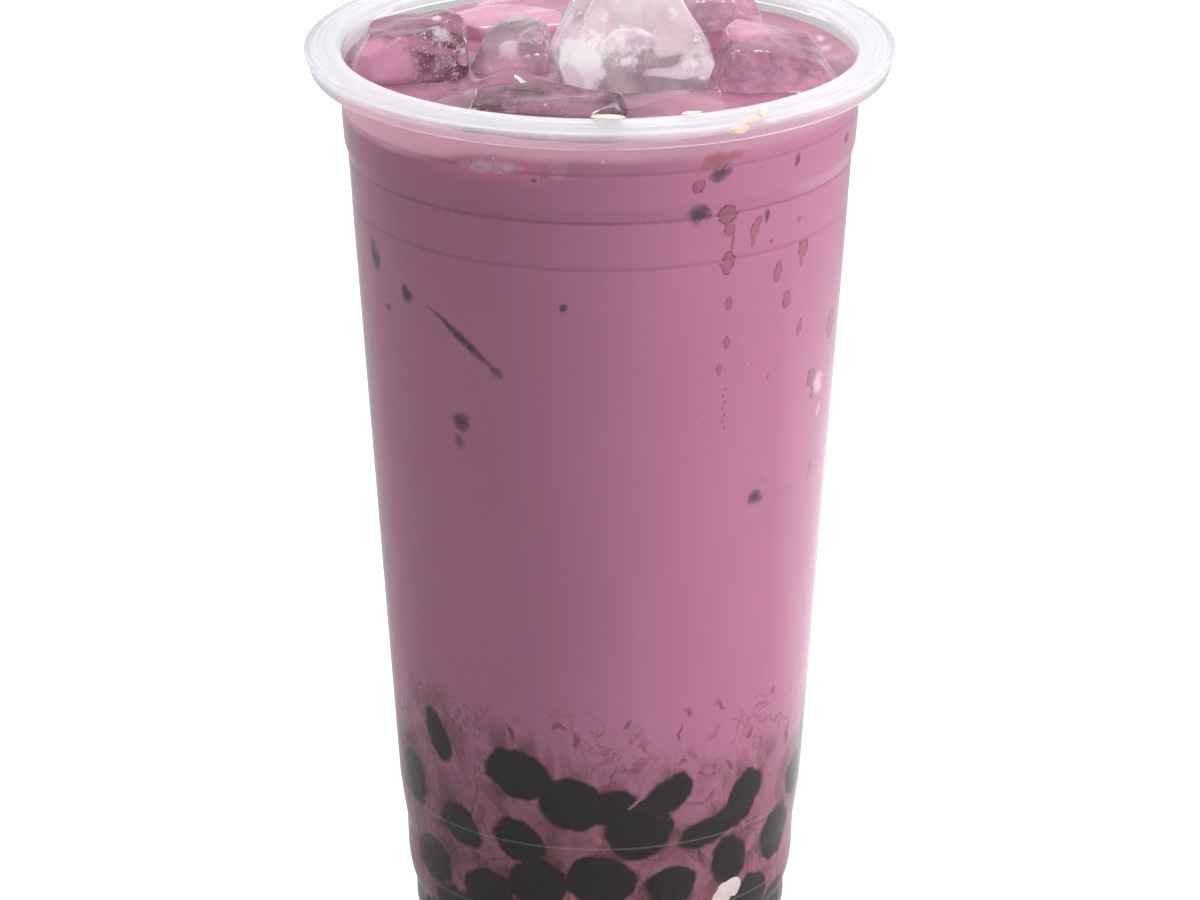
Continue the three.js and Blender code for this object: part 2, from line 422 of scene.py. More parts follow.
def milk_colour(graph):
    """Mauve milk tea: a pinker film under the rim, shade in the mould lines, and syrup round the pearls."""
    height = graph.height()
    gap = graph.attribute("gap")
    clouds = graph.remap(graph.noise(55, 3, (1, 1, 0.6)), 0.3, 0.7)
    colour = graph.mix(graph.times(clouds, 0.2), MILK, MILK_PALE)

    across = graph.axis("X")
    ragged = graph.times(graph.noise(150, 2), 0.001)
    hang = graph.times(graph.ramp(across, HANG_LEFT), graph.ramp(across, HANG_RIGHT))
    hang = graph.times(hang, graph.ramp(graph.math("ADD", height, ragged), HANG_Z), HANG_SHARE)
    colour = graph.mix(hang, colour, MILK_HANG)
    drape = graph.math("ADD", height, graph.band(across, DRAPE_X * MM, DRAPE_HALF * MM, DRAPE_DROP * MM))
    film = graph.ramp(graph.math("ADD", drape, ragged), (FILM_FROM_Z, FILM_TO_Z))
    film_colour = graph.mix(graph.ramp(across, FILM_SIDES), FILM_LEFT, FILM_RIGHT)
    colour = graph.mix(graph.times(film, FILM_SHARE), colour, film_colour)
    for line in (GROOVE_Z, BAND_Z, NECK_FOOT_Z):
        shade = graph.band(height, line * MM, LINE_SHADE_HALF * MM, LINE_SHADE)
        colour = graph.tint(shade, colour, LINE_TINT)

    low = graph.math("ADD", height, graph.times(graph.noise(90, 3), HEAP_WAVER * MM))
    colour = graph.mix(graph.times(graph.ramp(low, HEAP_Z), HEAP_SHARE), colour, MILK_HEAP)
    near = graph.remap(gap, *NEAR_PEARL_REACH)
    lumpy = graph.remap(graph.noise(170, 4, (1, 1, 0.7), 0.6, 0.6), 0.38, 0.66)
    colour = graph.tint(graph.times(near, lumpy, NEAR_PEARL_SHARE), colour, NEAR_PEARL_TINT)
    veins = graph.math("ABSOLUTE", graph.math("SUBTRACT", graph.noise(150, 4, (1, 1, 0.8), 1.0, 0.6), 0.5))
    zone = graph.times(graph.ramp(height, VEIN_Z), graph.remap(graph.noise(70, 2), 0.42, 0.58))
    veins = graph.times(graph.remap(veins, 0.035, 0.0), zone, VEIN_SHARE)
    colour = graph.tint(veins, colour, VEIN_TINT)
    ragged = graph.times(graph.math("SUBTRACT", graph.noise(200, 4, roughness=0.6), 0.5), PEARL_RAGGED)
    edge = graph.math("ADD", gap, ragged)
    near_pearl = graph.remap(edge, PEARL_HALO + PEARL_BLUR, PEARL_HALO - PEARL_BLUR)
    return graph.mix(near_pearl, colour, PEARL_DARK)


def milk_tea_side():
    """The drink where it lies against the wall."""
    material, graph = new_material("milk_tea_side")
    graph.surface(graph.add("BsdfPrincipled", {
        "Base Color": milk_colour(graph), "Roughness": 0.5, "Specular IOR Level": 0.1}).outputs[0])
    return material


def milk_tea_top():
    """The wet open surface of the drink, with painted light towards the back and right, and painted shade at
    the front left and beside the ice.
    """
    material, graph = new_material("milk_tea_top")
    clouds = graph.remap(graph.noise(120, 4, distortion=0.8), 0.35, 0.7)
    ripples = graph.noise(260, 3, distortion=0.5)
    # Painted light and shade: paler towards the back and the right, darker at the front left
    back, right = graph.ramp(graph.axis("Y"), TOP_LIT_BACK), graph.ramp(graph.axis("X"), TOP_LIT_RIGHT)
    lit = graph.times(graph.math("MAXIMUM", back, right), 1 - TOP_CLOUDS)
    colour = graph.mix(graph.math("ADD", lit, graph.times(clouds, TOP_CLOUDS)), TOP_PAINTED_SHADE, TOP_PAINTED_LIGHT)
    # Painted shade on the open surface beside the ice
    colour = graph.tint(graph.times(graph.attribute("ice_nook_shade"), NOOK_SHADE), colour, NOOK_SHADE_TINT)
    graph.surface(graph.add("BsdfPrincipled", {
        "Base Color": colour, "Roughness": 0.12, "Specular IOR Level": 0.5,
        "Normal": graph.bump(ripples, 0.25, 0.0006)}).outputs[0])
    return material


def tapioca():
    """Soft dark pearls, with a faint mottle."""
    material, graph = new_material("tapioca")
    mottle = graph.noise(400, 3)
    graph.surface(graph.add("BsdfPrincipled", {
        "Base Color": graph.mix(mottle, (0.012, 0.008, 0.008, 1), (0.026, 0.017, 0.017, 1)),
        "Roughness": 0.5, "Specular IOR Level": 0.1}).outputs[0])
    return material


def ice():
    """Clear wet ice: white where frosted and full of trapped air, with painted highlights on its outward
    bends and on the tall piece, pink where milk clings, and dark with painted shade where the drink below
    would show through.
    """
    material, graph = new_material("ice")
    grain = graph.noise(330, 2)
    glass = graph.add("BsdfPrincipled", {
        "Base Color": graph.mix(graph.attribute("tint"), (0.985, 0.975, 0.985, 1), ICE_TINGE),
        "Roughness": 0.02, "IOR": 1.31, "Transmission Weight": 1.0,
        "Normal": graph.bump(grain, 0.15, 0.0006)}).outputs[0]
    patchy = graph.remap(graph.noise(420, 4, roughness=0.65), 0.2, 0.8, -0.25, 0.25)
    # Frosted white, partly painted highlight on the tall piece
    frost_and_glint = graph.remap(graph.math("ADD", graph.attribute("frost_and_glint"), patchy), 0.25, 0.85, 0.0, 0.9)
    # Painted highlight along the sharper outward bends of each piece
    ridge_glint = graph.math("ADD", graph.attribute("ridge_glint"), graph.times(patchy, 0.2))
    ridge_glint = graph.remap(ridge_glint, 0.08, 0.24, 0.0, 0.6)
    specks = graph.times(graph.remap(graph.noise(2300, 1), 0.58, 0.68), graph.attribute("speck"))
    streaky = graph.remap(graph.noise(140, 4, (1, 1, 0.5), 0.8), 0.3, 0.7, 0.5, 1.3)
    white = graph.math("MAXIMUM", graph.math("MAXIMUM", frost_and_glint, ridge_glint), specks)
    white = graph.math("MAXIMUM", white, graph.times(graph.attribute("haze"), streaky))
    # White for frosted patches, bubbles and haze, and for painted highlights
    white_frost_and_glint = graph.add("MixShader", {
        0: 0.4, 1: graph.add("BsdfDiffuse", {"Color": (1, 0.98, 1, 1)}).outputs[0],
        2: graph.add("BsdfTranslucent", {"Color": (0.95, 0.93, 0.95, 1)}).outputs[0]}).outputs[0]
    body = graph.add("MixShader", {0: white, 1: glass, 2: white_frost_and_glint}).outputs[0]
    # Layers over the ice: painted shade where the drink below shows dark, and clinging milk
    for name, colour in (("shade_below", ICE_DEEP_SHADE), ("coat", ICE_MILK)):
        share = graph.math("ADD", graph.attribute(name), graph.times(patchy, 0.5))
        layer = graph.add("BsdfPrincipled", {
            "Base Color": colour, "Roughness": 0.12, "Normal": graph.bump(grain, 0.15, 0.0006)}).outputs[0]
        share = graph.remap(share, 0.1, 0.9, 0.0, 0.85)
        body = graph.add("MixShader", {0: share, 1: body, 2: layer}).outputs[0]
    graph.surface(graph.clear_to_lamps(body, (0.45, 0.34, 0.42, 1)))
    return material


def faded(name, colour):
    """A patch on the drink's side that fades into it towards its edge: mostly stains, and painted shade
    where ice touches the wall.
    """
    material, graph = new_material(name)
    core = graph.attribute("core")
    ragged = graph.math("SUBTRACT", graph.noise(500, 3, roughness=0.7, distortion=0.6), 0.5)
    ragged = graph.times(ragged, STAIN_AND_SHADE_RAGGED)
    share = graph.remap(graph.math("ADD", core, ragged), 0.05, 1.1)
    share = graph.times(share, graph.remap(core, 0.0, 0.5))
    graph.surface(graph.add("BsdfPrincipled", {
        "Base Color": graph.mix(share, milk_colour(graph), colour),
        "Roughness": 0.5, "Specular IOR Level": 0.1}).outputs[0])
    return material


def syrup():
    """Brown sugar syrup in drops on the wall, a see-through brown with a darker edge."""
    material, graph = new_material("syrup")
    uneven = graph.times(graph.math("SUBTRACT", graph.noise(900, 3, distortion=1.2), 0.5), 1.4)
    edge = graph.remap(graph.math("ADD", graph.attribute("core"), uneven), 0.05, 0.5, 1.0, 0.45)
    graph.surface(graph.add("BsdfPrincipled", {
        "Base Color": graph.tint(edge, milk_colour(graph), SYRUP_TINT),
        "Roughness": 0.4, "Specular IOR Level": 0.2}).outputs[0])
    return material


def crust():
    """Dried syrup and milk on the rim."""
    material, graph = new_material("dried_residue")
    graph.surface(graph.add("BsdfPrincipled", {
        "Base Color": graph.mix(graph.noise(900, 3), (0.86, 0.72, 0.55, 1), (0.75, 0.5, 0.42, 1)),
        "Roughness": 0.3}).outputs[0])
    return material


def cream():
    """A pale lump of undissolved powder."""
    material, graph = new_material("pale_lump")
    graph.surface(graph.add("BsdfPrincipled", {
        "Base Color": graph.mix(graph.noise(500, 3), (0.75, 0.68, 0.66, 1), (0.6, 0.5, 0.5, 1)),
        "Roughness": 0.5, "Specular IOR Level": 0.2}).outputs[0])
    return material


# Cup

def cup():
    """The whole cup in one fine outline, with its mould lines and skirted rim."""
    under = CUP_HEIGHT - RIM_THICKNESS
    skirt_foot = CUP_HEIGHT - SKIRT_DROP
    rim = [(NECK_R, under), (RIM_R - SKIRT_THICKNESS, under), (SKIRT_R - SKIRT_THICKNESS, skirt_foot),
           (SKIRT_R, skirt_foot), (RIM_R, CUP_HEIGHT - RIM_EDGE)]
    rim += bend(rim[-1], (RIM_R, CUP_HEIGHT), (RIM_R - RIM_EDGE, CUP_HEIGHT))
    for radius in RIM_RINGS:
        rim += [(radius + RIM_RING_HALF, CUP_HEIGHT), (radius, CUP_HEIGHT - RIM_RING_DEPTH),
                (radius - RIM_RING_HALF, CUP_HEIGHT)]
    rim.append((RIM_INNER_R, CUP_HEIGHT))
    rim += bend(rim[-1], (NECK_R - WALL, CUP_HEIGHT), (NECK_R - WALL, CUP_HEIGHT - LIP_DROP))
    outline = [(0, FOOT_RECESS), (FOOT_RECESS_R, FOOT_RECESS), (FOOT_RING_R, 0)]
    outline += wall_line(0) + rim + wall_line(WALL)[::-1]
    outline += [(FOOT_RING_R, WALL), (FOOT_RECESS_R, FOOT_RECESS + WALL), (0, FOOT_RECESS + WALL)]
    piece = mesh_piece("clear_cup", *turned(eased(outline, CORNER_EASE), SEGMENTS), clear_plastic())
    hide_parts("cup")


# Ice

CHIPS = 22
CHIP_DEPTH = (0.87, 0.985)
SOFTEN_ROUNDS = 3
ICE_WAVES = 0.3
ICE_DENTS = 0.08
# Places where a piece is painted white, frosted on most pieces and partly a painted highlight on the tall
# one: node, place, reach and strength
FROST_AND_GLINT_SPOTS = [
    ("ice_tall", (-5, -13, 155.5), 4.2, 1.1), ("ice_tall", (-3, -15, 153), 3.2, 1.0),
    ("ice_tall", (14.5, -12.5, 154), 2.6, 0.6), ("ice_tall", (16.6, -8, 157), 2.6, 0.6),
    ("ice_tall", (12, -10, 162), 3.0, 0.5), ("ice_tall", (0, -11, 162), 4.0, 0.3),
    ("ice_tall", (5, -12, 156), 6.5, 0.62), ("ice_round", (-12.5, -5, 153), 4.0, 0.45),
    ("ice_left", (-25.5, -6, 153), 5.0, 0.4), ("ice_left", (-26, -4, 157), 2.0, 0.5),
    ("ice_round", (-15.3, -4, 154.3), 2.2, 0.7), ("ice_front", (2.7, -29.6, 152.5), 2.0, 0.6),
    ("ice_right", (24, 2, 157), 3.0, 0.25), ("ice_back_right", (20, 12, 156), 3.0, 0.4),
]
# How pink each piece is all through, how much milk clings to it and how hazy it is
ICE_TINT = {"ice_tall": 0.05, "ice_left": 0.8, "ice_round": 0.15, "ice_front": 0.8, "ice_right": 0.8,
            "ice_back_right": 0.4, "ice_back_left": 0.6, "ice_back": 0.6}
MILK_COAT = {"ice_tall": 0.05, "ice_left": 0.25, "ice_round": 0.2, "ice_front": 0.12, "ice_right": 0.4,
             "ice_back_right": 0.5, "ice_back_left": 0.8, "ice_back": 0.7}
ICE_HAZE = {"ice_tall": 0.4, "ice_round": 0.28, "ice_back_right": 0.15}
COAT_RISE = 3.0
# Places where milk, painted shade of the dark drink below, and fine bubbles show on a piece: node, place,
# reach and strength
MILK_SPOTS = [
    ("ice_left", (-37.5, -7.5, 152.5), 4.0, 0.8), ("ice_left", (-33.5, -8.0, 152.5), 4.0, 0.8),
    ("ice_round", (-15, -5, 151), 4.5, 0.5), ("ice_right", (24, 0, 156), 6.0, 0.35),
    ("ice_front", (-16, -24, 153), 6.0, 0.25), ("ice_front", (-4, -26, 153.3), 4.5, 0.2),
]
DEEP_SHADE_SPOTS = [
    ("ice_left", (-34, 1.5, 157.2), 7.5, 1.0), ("ice_left", (-25, -7, 152.5), 4.5, 0.45),
    ("ice_front", (-4, -31.5, 152), 6.5, 1.0), ("ice_front", (-1, -22, 153.2), 3.0, 0.7),
    ("ice_front", (-12, -30.5, 152), 5.5, 0.6), ("ice_tall", (3, -6, 167), 4.5, 0.35),
    ("ice_right", (22, -12.5, 151.6), 5.5, 0.8), ("ice_right", (29, -12, 151.3), 5.5, 0.8),
]
SPECK_SPOTS = [
    ("ice_left", (-25.5, -7, 153), 4.5, 0.8), ("ice_front", (-9.5, -30.5, 152.5), 4.5, 0.8),
    ("ice_right", (25, -13.5, 150), 4.0, 0.6), ("ice_tall", (5, -12, 157), 7.0, 0.3),
]
AIR_BUBBLES = 12
AIR_SIZES = (0.2, 0.75)
LENS_PLACE = (4.7, -10.6, 156.2)
LENS_SIZE = (4.6, 1.1, 3.3)


def chipped(points, seed):
    """Points of a block with flat facets struck off it."""
    draw = np.random.default_rng(seed)
    middle = points.mean(0)
    for _ in range(CHIPS):
        facing = draw.normal(size=3)
        facing /= np.linalg.norm(facing)
        reach = (points - middle) @ facing
        over = np.maximum(reach - draw.uniform(*CHIP_DEPTH) * reach.max(), 0)
        points = points - over[:, None] * facing
    return points


def ridges(mesh):
    """How sharply the surface bends outwards at each vertex."""
    points, facing = coordinates(mesh), normals(mesh)
    ends = np.empty(len(mesh.edges) * 2, int)
    mesh.edges.foreach_get("vertices", ends)
    total, count = np.zeros(len(points)), np.zeros(len(points))
    for a, b in (ends.reshape(-1, 2).T, ends.reshape(-1, 2).T[::-1]):
        step = points[b] - points[a]
        step /= np.linalg.norm(step, axis=1)[:, None]
        np.add.at(total, a, -(facing[a] * step).sum(1))
        np.add.at(count, a, 1)
    return total / np.maximum(count, 1)


def spotted(spots, node, points):
    """How strongly the spots of a piece mark each of its points."""
    share = np.zeros(len(points))
    for spot_node, place, reach, strength in spots:
        if spot_node == node:
            share += strength * np.exp(-np.sum((points - place) ** 2, 1) / reach ** 2)
    return share


def milk_coat(node, points):
    """How much milk covers each point of a piece: most near the drink's surface."""
    wash = points[:, 2] - 2.0 * lumps(points, 4.0, 21.0)
    splash = 0.5 * np.clip((DRINK_LEVEL + COAT_RISE - wash) / COAT_RISE, 0, 1)
    return MILK_COAT[node] * (1 + splash) + spotted(MILK_SPOTS, node, points)


def ice_block(node, material, seed):
    """A half-melted cube: the solid's own form with facets, soft edges and dents."""
    piece = bpy.data.objects.new(node + "_melted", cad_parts[node].data.copy())
    bpy.context.scene.collection.objects.link(piece)
    remesh = piece.modifiers.new("remesh", "REMESH")
    remesh.mode = "VOXEL"
    remesh.voxel_size = ICE_VOXEL * MM
    soften = piece.modifiers.new("soften", "SMOOTH")
    soften.factor = 0.5
    soften.iterations = SOFTEN_ROUNDS
    apply_modifiers(piece)
    set_coordinates(piece.data, chipped(coordinates(piece.data), seed))
    points = coordinates(piece.data)
    swell = ICE_WAVES * lumps(points, 6.0, seed) + ICE_DENTS * lumps(points, 2.0, seed + 5)
    set_coordinates(piece.data, points + normals(piece.data) * swell[:, None])
    points = coordinates(piece.data)
    # How sharply each point bends outwards, for the painted highlight along the bends
    set_attribute(piece.data, "ridge_glint", ridges(piece.data))
    set_attribute(piece.data, "frost_and_glint", spotted(FROST_AND_GLINT_SPOTS, node, points))
    set_attribute(piece.data, "shade_below", spotted(DEEP_SHADE_SPOTS, node, points))
    set_attribute(piece.data, "speck", spotted(SPECK_SPOTS, node, points))
    set_attribute(piece.data, "haze", np.full(len(points), ICE_HAZE.get(node, 0.0)))
    set_attribute(piece.data, "coat", milk_coat(node, points))
    set_attribute(piece.data, "tint", np.full(len(points), ICE_TINT[node]))
    piece.data.materials.clear()
    piece.data.materials.append(material)
    piece.data.shade_smooth()
    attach(piece, "root")
    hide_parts(node)
    return piece


def air_bubbles(ice_pieces, material):
    """Air trapped in the ice, with a large flat bubble in the tall piece: inside-out balls in one mesh."""
    draw = np.random.default_rng(3)
    ball, triangles = unit_ball(3)
    uneven = 1 + 0.25 * lumps(ball, 0.7, 4.0)
    shapes = [(ball * uneven[:, None] * np.array(LENS_SIZE) + np.array(LENS_PLACE), triangles[:, ::-1])]
    for block in ice_pieces:
        points, facing = coordinates(block.data), normals(block.data)
        above = np.flatnonzero((points[:, 2] > DRINK_LEVEL) & (facing[:, 1] < 0.2))
        for i in draw.choice(above, AIR_BUBBLES):
            centre = points[i] - facing[i] * draw.uniform(0.9, 2.2)
            shapes.append((centre + ball * draw.uniform(*AIR_SIZES), triangles[:, ::-1]))
    mesh_piece("air_bubbles", *joined(shapes), material)


# Pearls

PEARL_SEED = 7
FRONT_SPAN = 78.0
# Pearls that show through the front wall: angle, height, width, length and lean to the right
FRONT_PEARLS = [
    (-51, 43, 5, 9, -25), (-66, 32.5, 9, 11, -20), (-44, 28, 7.5, 10, -50), (-23, 40, 10, 13, -70),
    (-8, 35.5, 12.5, 12, 0), (-24, 28, 8.5, 10.5, -60), (-59, 19, 11, 9.5, 0), (-35, 17, 11, 9, 0),
    (-18.5, 20.5, 11.5, 12, 0), (0, 21.5, 13, 12, 0), (11, 31, 13.5, 13.5, 0), (19.5, 36.5, 6.5, 10, 50),
    (3, 35, 7, 9, 70), (31.5, 28.5, 5, 9, 80), (45, 33, 7.5, 11, 30), (41, 22.5, 8, 11, -10),
    (36.5, 29.5, 4.5, 7, 60), (63, 23.5, 11, 12, 0), (73, 31.5, 8, 8, 0), (21.5, 19.5, 10, 9.5, 0),
    (52, 13.5, 10, 9, 0), (-48, 12, 12, 9, 0),
]
BACK_ROWS = [(20, 9), (28, 9), (36, 7)]
FOOT_ROW_Z = 9.0
FOOT_ROW_COUNT = 17
PEARL_SIZES = (9.0, 12.5)
PEARL_PRESS = 0.3
PEARL_LUMPS = 0.2
PEARL_DENTS = 0.07
PEARL_PROUD = 0.06
PEARL_PROUD_STEP = 0.015


def pearl_list():
    """Every pearl that shows, like FRONT_PEARLS: those in front listed, the rest by a rule."""
    draw = np.random.default_rng(PEARL_SEED)
    pearls = list(FRONT_PEARLS)
    places = [(angle, height) for height, count in BACK_ROWS
              for angle in np.linspace(FRONT_SPAN + 14, 346 - FRONT_SPAN, count)]
    places += [(i * 360 / FOOT_ROW_COUNT, FOOT_ROW_Z) for i in range(FOOT_ROW_COUNT)]
    for angle, height in places:
        turn, rise, lean = draw.uniform(-7, 7), draw.uniform(-2.5, 2.0), draw.uniform(-80, 80)
        pearls.append((angle + turn, height + rise, *draw.uniform(*PEARL_SIZES, 2), lean))
    return pearls


def pearl_frame(pearl):
    """The centre and the three half axes of a pearl that is pressed against the wall."""
    angle, height, width, length, lean = pearl
    turn, lean = math.radians(angle), math.radians(lean)
    across = np.array([math.cos(turn), math.sin(turn), 0])
    outward = np.array([math.sin(turn), -math.cos(turn), 0])
    upward = np.array([0, 0, 1])
    along = math.cos(lean) * upward + math.sin(lean) * across
    beside = math.cos(lean) * across - math.sin(lean) * upward
    depth = (width + length) / 4
    axes = np.array([beside * width / 2, outward * depth, along * length / 2])
    return outward * (wall_radius(height) - depth * (1 - PEARL_PRESS)) + upward * height, axes


def unit_ball(fineness=4):
    """Vertices and triangles of an even ball of radius 1."""
    shape = bmesh.new()
    bmesh.ops.create_icosphere(shape, subdivisions=fineness, radius=1)
    points = np.array([v.co[:] for v in shape.verts])
    triangles = np.array([[v.index for v in face.verts] for face in shape.faces])
    shape.free()
    return points, triangles


def joined(shapes):
    """Vertices and faces of several (vertices, faces) shapes as one."""
    vertices, faces, start = [], [], 0
    for points, corners in shapes:
        vertices.append(points)
        faces += [[start + c for c in face] for face in corners]
        start += len(points)
    return np.concatenate(vertices), faces


def pearl_bed(pearls, material):
    """All pearls in one mesh: uneven soft balls, flat where they press against the wall."""
    ball, triangles = unit_ball()
    shapes = []
    for i, pearl in enumerate(pearls):
        centre, axes = pearl_frame(pearl)
        uneven = 1 + PEARL_LUMPS * lumps(ball, 0.8, 3.1 * i) + PEARL_DENTS * lumps(ball, 0.28, 1.7 * i)
        points = centre + (ball * uneven[:, None]) @ axes
        out = np.hypot(points[:, 0], points[:, 1])
        limit = wall_radius(points[:, 2]) + PEARL_PROUD + PEARL_PROUD_STEP * (i % 5)
        points[:, :2] *= np.minimum(1, limit / out)[:, None]
        shapes.append((points, triangles))
    piece = mesh_piece("tapioca_pearls", *joined(shapes), material)
    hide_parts("pearls")


# Drink

# Heights where the rows of the side change: fine by the pearls, coarse in the plain part, fine above
HEAP_ROWS_FROM = 7
PLAIN_ROWS_FROM = 52
FILM_ROWS_FROM = 126
ROW_STEPS = (0.5, 2.0, 0.4)
TOP_RINGS = 46
MENISCUS = 0.9
MENISCUS_WIDTH = 1.3
FAR = 10.0
NOOK_WIDTH = 2.6
TOP_WAVES = 0.45
TOP_RIPPLES = 0.2
HOLLOW_INSET = 0.1
# Swellings of the surface over sunken ice: place, reach and height
MOUNDS = [((-14, -9), 4.5, 2.4), ((12, -18), 5.0, 0.9), ((-24, -17), 5.0, 0.8), ((30, -2), 4.0, 0.6)]


def drink_line():
    """The drink's outline from the middle of its floor, up the wall and back to the middle of its top."""
    inset = WALL - DRINK_REACH
    line = [(0, FOOT_RECESS + inset), (FOOT_RECESS_R, FOOT_RECESS + inset), (FOOT_RING_R, inset)]
    line += wall_line(inset)[:11]
    bounds = (HEAP_ROWS_FROM, PLAIN_ROWS_FROM, FILM_ROWS_FROM, DRINK_LEVEL)
    heights = np.concatenate([np.arange(low, high, step)
                              for low, high, step in zip(bounds, bounds[1:], ROW_STEPS)])
    line += [(wall_radius(z), z) for z in heights]
    edge = wall_radius(DRINK_LEVEL)
    line += [(edge * (1 - i / TOP_RINGS), DRINK_LEVEL) for i in range(TOP_RINGS + 1)]
    return line


def pearl_gap(points, pearls):
    """How far each point is from the nearest pearl, as far as it matters for the looks."""
    nearest = np.full(len(points), FAR)
    for pearl in pearls:
        centre, axes = pearl_frame(pearl)
        size = np.linalg.norm(axes, axis=1)
        local = (points - centre) @ (axes / size[:, None] ** 2).T
        nearest = np.minimum(nearest, (np.linalg.norm(local, axis=1) - 1) * size.min())
    return nearest


def nooks(points, ice_pieces):
    """How close each point of the drink is to the ice, for the painted shade in the corners where less light
    comes in.
    """
    ice_points = np.concatenate([coordinates(block.data) for block in ice_pieces])
    ice_points = ice_points[ice_points[:, 2] > DRINK_LEVEL]
    tree = kdtree.KDTree(len(ice_points))
    for i, point in enumerate(ice_points):
        tree.insert(point, i)
    tree.balance()
    return np.array([math.exp(-tree.find(point)[2] / NOOK_WIDTH) for point in points])


def drink(pearls, ice_pieces):
    """One body of drink from the floor to its surface, with hollows for the ice and halos at the pearls."""
    piece = mesh_piece("milk_tea", *turned(drink_line(), DRINK_SEGMENTS), milk_tea_side(), milk_tea_top())
    points = coordinates(piece.data)
    out = np.hypot(points[:, 0], points[:, 1])
    on_top = points[:, 2] > DRINK_LEVEL - 0.01
    climb = MENISCUS * np.exp((out - wall_radius(DRINK_LEVEL)) / MENISCUS_WIDTH)
    swell = TOP_WAVES * lumps(points, 9.0, 3.0) + TOP_RIPPLES * lumps(points, 3.5, 8.0)
    for place, reach, rise in MOUNDS:
        swell += rise * np.exp(-np.sum((points[:, :2] - place) ** 2, 1) / reach ** 2)
    points[on_top, 2] += (climb + swell)[on_top]
    set_coordinates(piece.data, points)

    for block in ice_pieces:
        hollow = bpy.data.objects.new("hollow", block.data.copy())
        bpy.context.scene.collection.objects.link(hollow)
        set_coordinates(hollow.data, coordinates(hollow.data) - HOLLOW_INSET * normals(hollow.data))
        cut = piece.modifiers.new("cut", "BOOLEAN")
        cut.operation = "DIFFERENCE"
        cut.solver = "MANIFOLD"
        cut.object = hollow
        apply_modifiers(piece)
        bpy.data.objects.remove(hollow)

    mesh = piece.data
    points = coordinates(mesh)
    set_attribute(mesh, "gap", pearl_gap(points, pearls))
    # Nearness to the ice, for the painted shade beside it
    set_attribute(mesh, "ice_nook_shade", nooks(points, ice_pieces))
    out = np.hypot(points[:, 0], points[:, 1])
    open_surface = (out < wall_radius(points[:, 2]) - 0.05) & (points[:, 2] > 120)
    for polygon in mesh.polygons:
        is_top = all(open_surface[v] for v in polygon.vertices) or polygon.normal.z > 0.5
        polygon.material_index = int(is_top)
    mesh.shade_smooth()
    mesh.set_sharp_from_angle(angle=math.radians(50))
    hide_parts("drink")


# Marks and drops on the inside of the wall

STROKE_STEPS = 24
STROKE_SIDES = 13
STROKE_SINK = 0.04
STROKE_EDGE = 0.42
# A patch fades at its edge, so it is drawn wider than the mark that shows
MARK_SPREAD = 2.8
THREAD_SPREAD = 1.4
PATCH_THICKNESS = 0.12
GLOW_THICKNESS = 0.26


def stroke(path, widths, thickness, seed=0.0, strength=1.0, waver=0.25, wobble=0.0):
    """A thin patch along (angle, height) points on the wall: vertices, faces and nearness to its core."""
    angles, heights = np.array(path, float).T
    line = np.stack([np.radians(angles) * wall_radius(heights), heights], 1)
    travel = np.concatenate([[0], np.cumsum(np.linalg.norm(np.diff(line, axis=0), axis=1))])
    u = (1 - np.cos(np.linspace(0, math.pi, STROKE_STEPS))) / 2
    spine = np.stack([np.interp(u * travel[-1], travel, line[:, i]) for i in (0, 1)], 1)
    heading = np.gradient(spine, axis=0)
    heading /= np.linalg.norm(heading, axis=1)[:, None]
    left = np.stack([-heading[:, 1], heading[:, 0]], 1)
    wander = lumps(np.stack([spine[:, 0], spine[:, 1], 0 * u + seed], 1), 1.1)
    spine = spine + left * wobble * wander[:, None]
    taper = np.maximum(1 - (2 * u - 1) ** 2, 0) ** 0.4
    half = np.interp(u * travel[-1], travel, widths) / 2 * taper
    rows, core = [], []
    for across in np.linspace(-1, 1, STROKE_SIDES):
        ragged = 1 + waver * lumps(np.stack([4 * u, 0 * u + across, 0 * u + seed], 1), 0.7)
        spot = spine + left * (half * across * ragged)[:, None]
        near = (1 - across ** 2) * taper
        out = wall_radius(spot[:, 1]) + thickness * near - STROKE_SINK
        around = spot[:, 0] / wall_radius(spot[:, 1])
        rows.append(np.stack([out * np.sin(around), -out * np.cos(around), spot[:, 1]], 1))
        core.append(strength * np.clip((near - STROKE_EDGE) / (1 - STROKE_EDGE), 0, 1))
    faces = []
    for i in range(STROKE_SIDES - 1):
        for k in range(STROKE_STEPS - 1):
            a = i * STROKE_STEPS + k
            b = a + STROKE_STEPS
            faces.append([a, a + 1, b + 1, b])
    return np.concatenate(rows), faces, np.concatenate(core)


def strokes_piece(name, shapes, material):
    """Several streaks as one piece."""
    vertices, faces = joined([shape[:2] for shape in shapes])
    piece = mesh_piece(name, vertices, faces, material)
    set_attribute(piece.data, "core", np.concatenate([shape[2] for shape in shapes]))
    set_attribute(piece.data, "gap", np.full(len(vertices), FAR))


WALL_SPECKS = 45


def drop(angle, height, width, length, seed, lean=0.0, thickness=0.1):
    """A drop on the wall, as a short upright streak."""
    step = length / 2
    slant = math.degrees(lean * step / wall_radius(height))
    path = [(angle - slant, height - step), (angle + slant, height + step)]
    return stroke(path, [width, width], thickness, seed, waver=0.45)


